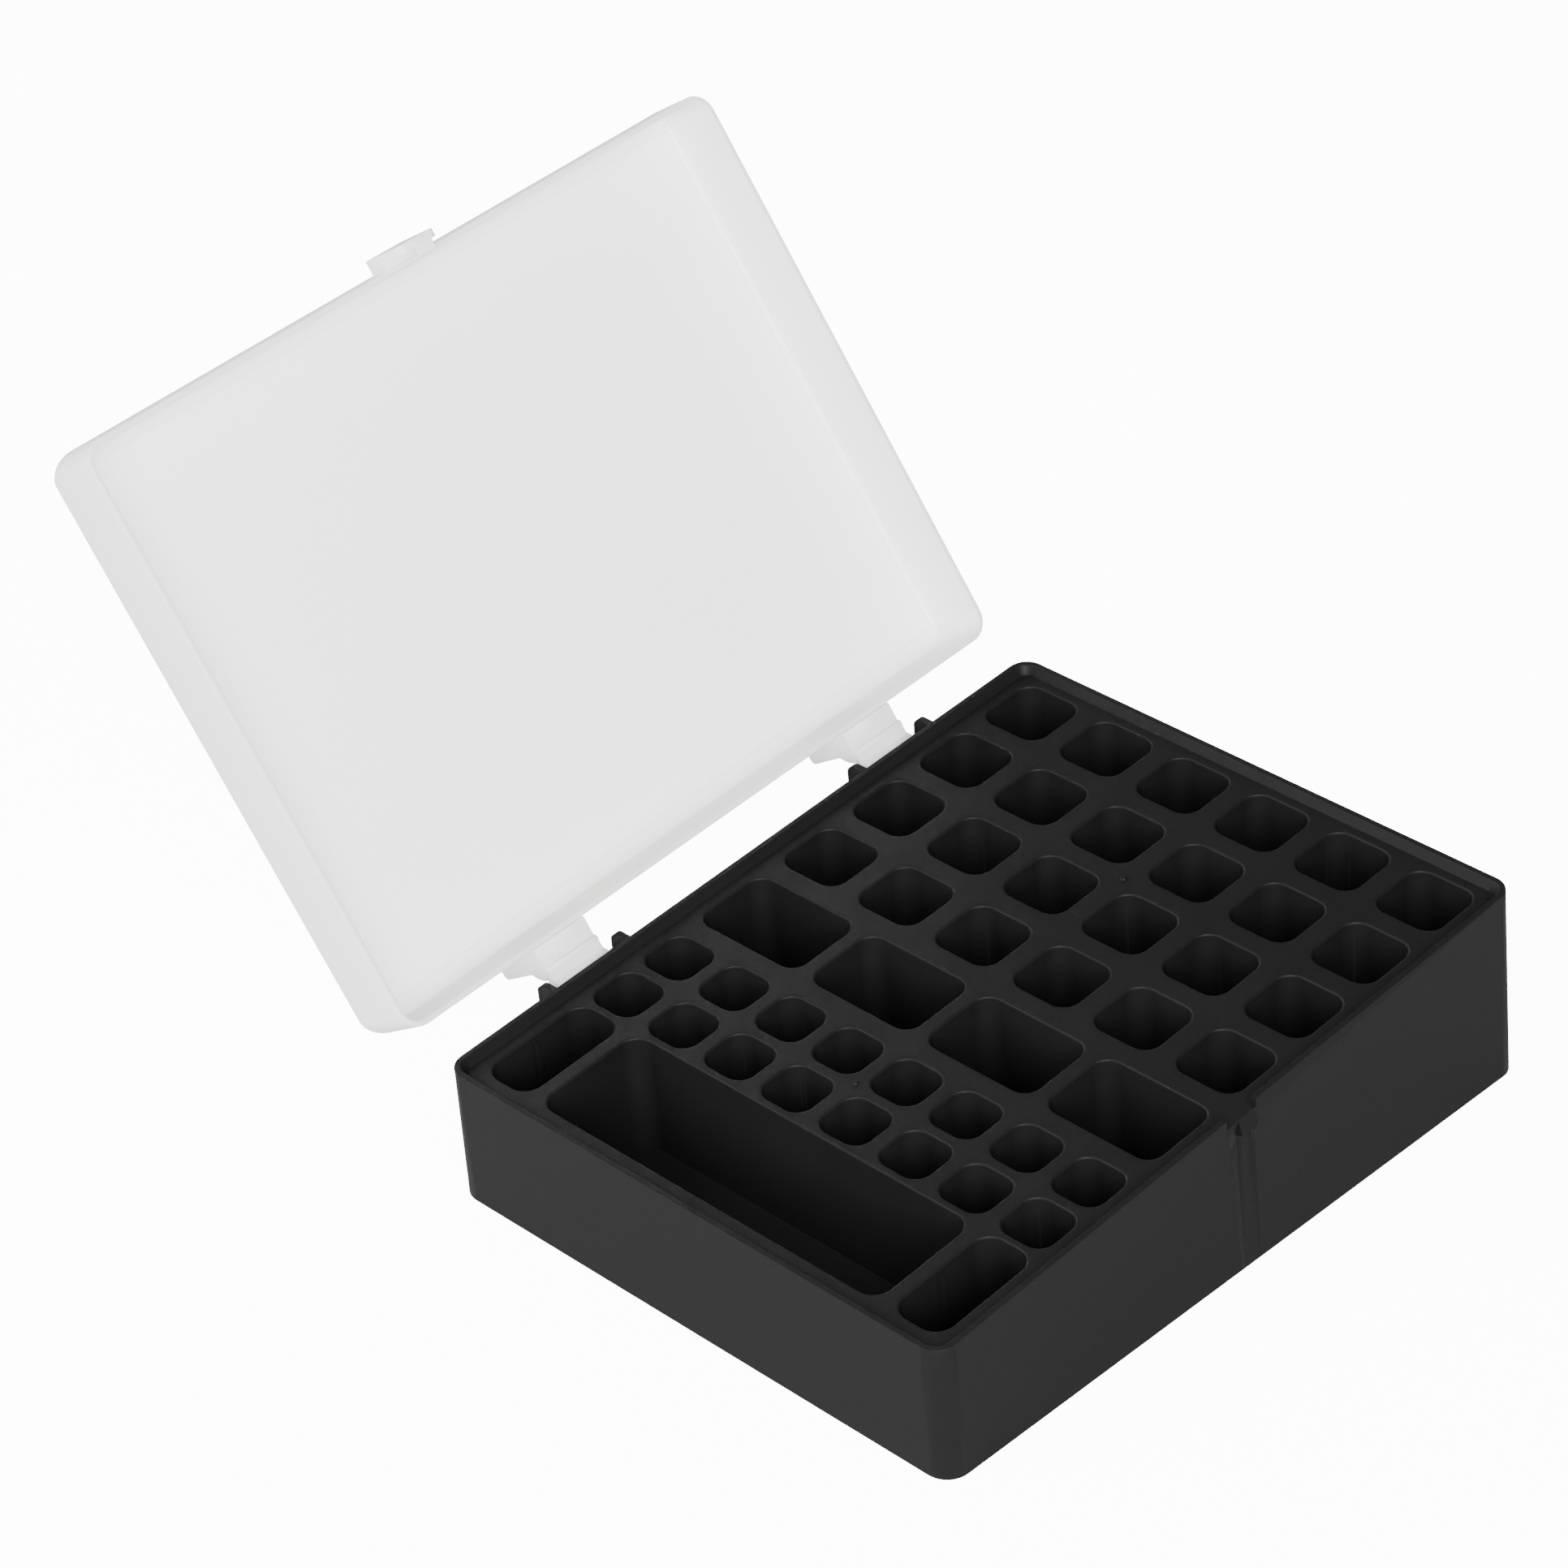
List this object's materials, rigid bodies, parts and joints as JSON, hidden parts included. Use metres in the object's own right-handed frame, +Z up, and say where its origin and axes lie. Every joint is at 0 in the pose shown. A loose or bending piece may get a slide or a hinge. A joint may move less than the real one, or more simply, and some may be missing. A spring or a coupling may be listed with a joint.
{
  "type": "battery storage case",
  "caption": "Wedge-shaped moulded tray with square and oblong battery pockets, and a shallow frosted lid on two strap hinges with a snap latch.",
  "frame": {"origin": "on the surface the case stands on, at the foot of the front wall, below the middle of the rim's front edge", "axes": "+X along the case towards its tall end, +Y from the latch to the hinges, +Z up"},
  "size_m": [0.1839, 0.2234, 0.1563],
  "materials": {
    "black_moulding": "fine matte texture",
    "frosted_moulding": "frosted, translucent"
  },
  "bodies": {
    "tray": {"tray_skirt": "black_moulding", "aa_pockets": "black_moulding", "aaa_pockets_front": "black_moulding", "aaa_pockets_rear": "black_moulding", "block_pockets": "black_moulding", "end_slots": "black_moulding", "long_bay": "black_moulding", "hinge_ears": "black_moulding", "hinge_bars": "black_moulding", "hinge_foot_left": "frosted_moulding", "hinge_foot_right": "frosted_moulding", "latch_keeper": "black_moulding"},
    "lid": {"lid_shell": "frosted_moulding", "hinge_arm_left": "frosted_moulding", "hinge_arm_right": "frosted_moulding", "latch_tab": "frosted_moulding"}
  },
  "joints": [
    {"name": "lid_hinge", "type": "hinge", "parent": "tray", "child": "lid", "pos_m": [-0.00328, 0.1341, 0.03831], "axis": [0.9963, 0, 0.0854], "range_deg": [0, 124]}
  ]
}
